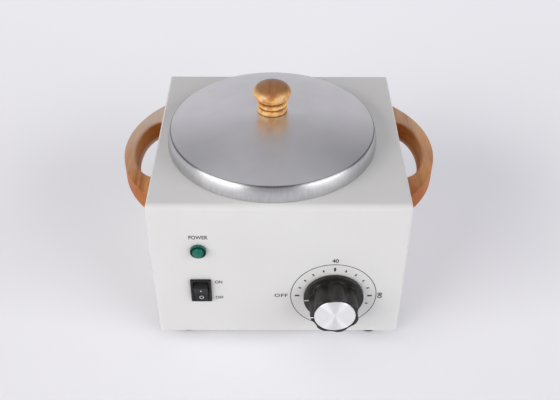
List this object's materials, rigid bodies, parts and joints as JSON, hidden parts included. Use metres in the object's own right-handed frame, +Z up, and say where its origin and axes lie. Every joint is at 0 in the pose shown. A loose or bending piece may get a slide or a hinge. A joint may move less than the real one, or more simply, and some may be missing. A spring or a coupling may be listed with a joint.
{
  "type": "paraffin wax bath",
  "caption": "Box-shaped tabletop wax bath with a lift-out pot, loose domed lid with knob, wooden side handles, thermostat dial, rocker switch and pilot lamp.",
  "frame": {"origin": "on the surface it stands on, under the middle of the whole object", "axes": "+Z up, the control panel faces -Y, +X to the right seen from the front"},
  "size_m": [0.2336, 0.1952, 0.177],
  "materials": {
    "cabinet_paint": "white powder coat, fine orange-peel texture, satin",
    "rubber": "matte moulded rubber",
    "zinc_steel": "bright zinc plate",
    "handle_wood": "warm orange-brown, satin clear lacquer, grain along the bow",
    "knob_wood": "turned, glossy clear lacquer",
    "well_aluminium": "plain drawn aluminium, satin",
    "pot_aluminium": "spun aluminium, satin inside",
    "lid_aluminium": "fine matte, bead-blasted look with a brighter shoulder",
    "mica_band": "steel-sheathed mica band, heat-tinted",
    "copper_tube": "bare drawn copper",
    "black_matte": "moulded, fine texture",
    "black_gloss": "glossy moulded phenolic",
    "cap_aluminium": "circularly spun disc with a radial sheen",
    "green_jewel": "faceted translucent green, unlit",
    "brass": "plain turned or stamped",
    "ceramic": "glazed steatite, off-white",
    "wire_brown": "heat-resistant sleeve",
    "wire_blue": "heat-resistant sleeve",
    "wire_earth": "green and yellow sleeve"
  },
  "bodies": {
    "cabinet": {"housing_shell": "cabinet_paint", "base_plate": "cabinet_paint", "foot_front_left": "rubber", "foot_front_right": "rubber", "foot_back_left": "rubber", "foot_back_right": "rubber", "foot_screw_front_left": "zinc_steel", "foot_screw_front_right": "zinc_steel", "foot_screw_back_left": "zinc_steel", "foot_screw_back_right": "zinc_steel", "base_screw_front_left": "zinc_steel", "base_screw_front_right": "zinc_steel", "base_screw_back_left": "zinc_steel", "base_screw_back_right": "zinc_steel", "handle_screw_left_front": "zinc_steel", "handle_screw_left_back": "zinc_steel", "handle_screw_right_front": "zinc_steel", "handle_screw_right_back": "zinc_steel", "band_clamp_screw": "zinc_steel", "bulb_clip": "zinc_steel", "thermostat_body": "zinc_steel", "thermostat_screw_left": "zinc_steel", "thermostat_screw_right": "zinc_steel", "inlet_screw_left": "zinc_steel", "inlet_screw_right": "zinc_steel", "handle_left": "handle_wood", "handle_right": "handle_wood", "heating_well": "well_aluminium", "band_heater": "mica_band", "thermostat_bulb": "copper_tube", "capillary_tube": "copper_tube", "thermal_cutout": "black_matte", "pilot_lamp_body": "black_matte", "pilot_lamp_nut": "black_matte", "inlet_socket": "black_matte", "switch_housing": "black_matte", "pilot_lamp_lens": "green_jewel", "inlet_pin_live": "brass", "inlet_pin_neutral": "brass", "inlet_pin_earth": "brass", "earth_stud": "brass", "terminal_block": "ceramic", "live_wire": "wire_brown", "switch_wire": "wire_brown", "lamp_wire": "wire_brown", "thermostat_wire": "wire_brown", "cutout_wire": "wire_brown", "heater_wire_right": "wire_brown", "neutral_wire": "wire_blue", "heater_wire_left": "wire_blue", "earth_wire": "wire_earth"},
    "pot": {"pot": "pot_aluminium"},
    "lid": {"lid": "lid_aluminium", "lid_knob": "knob_wood", "lid_washer": "zinc_steel", "lid_knob_screw": "zinc_steel"},
    "dial_knob": {"thermostat_knob": "black_gloss", "knob_cap": "cap_aluminium", "thermostat_shaft": "zinc_steel"},
    "rocker": {"switch_rocker": "black_gloss"}
  },
  "joints": [
    {"name": "pot_lift", "type": "slide", "parent": "cabinet", "child": "pot", "axis": [0, 0, 1], "range_m": [0, 0.075]},
    {"name": "lid_lift", "type": "slide", "parent": "pot", "child": "lid", "axis": [0, 0, 1], "range_m": [0, 0.06]},
    {"name": "thermostat_turn", "type": "hinge", "parent": "cabinet", "child": "dial_knob", "pos_m": [0.0399, -0.07715, 0.0457], "axis": [0, 1, 0], "range_deg": [0, 198]},
    {"name": "rocker_tilt", "type": "hinge", "parent": "cabinet", "child": "rocker", "pos_m": [-0.0562, -0.07315, 0.052], "axis": [-1, 0, 0], "range_deg": [0, 24]}
  ]
}
